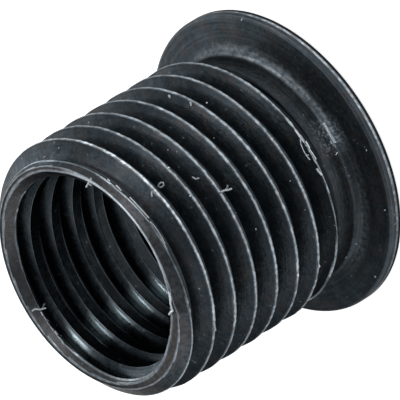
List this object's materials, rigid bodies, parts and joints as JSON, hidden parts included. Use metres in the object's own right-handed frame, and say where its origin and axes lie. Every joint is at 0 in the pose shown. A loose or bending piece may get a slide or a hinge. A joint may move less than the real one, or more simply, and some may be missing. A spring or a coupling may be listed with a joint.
{
  "type": "threaded insert",
  "caption": "Flanged threaded insert: a thin steel sleeve with an outer thread, a matching inner thread, a plain neck and a wide flange that seats it in a repaired hole.",
  "frame": {"origin": "centre of the flange's flat outer face, on the axis of the threads", "axes": "+Z along the axis from the flange to the tip, +X and +Y square to it"},
  "size_m": [0.0164, 0.0164, 0.014],
  "materials": {
    "black_oxide_steel": "black oxide, bright along the worn thread crests"
  },
  "bodies": {
    "root": {"insert_sleeve": "black_oxide_steel"}
  },
  "joints": []
}
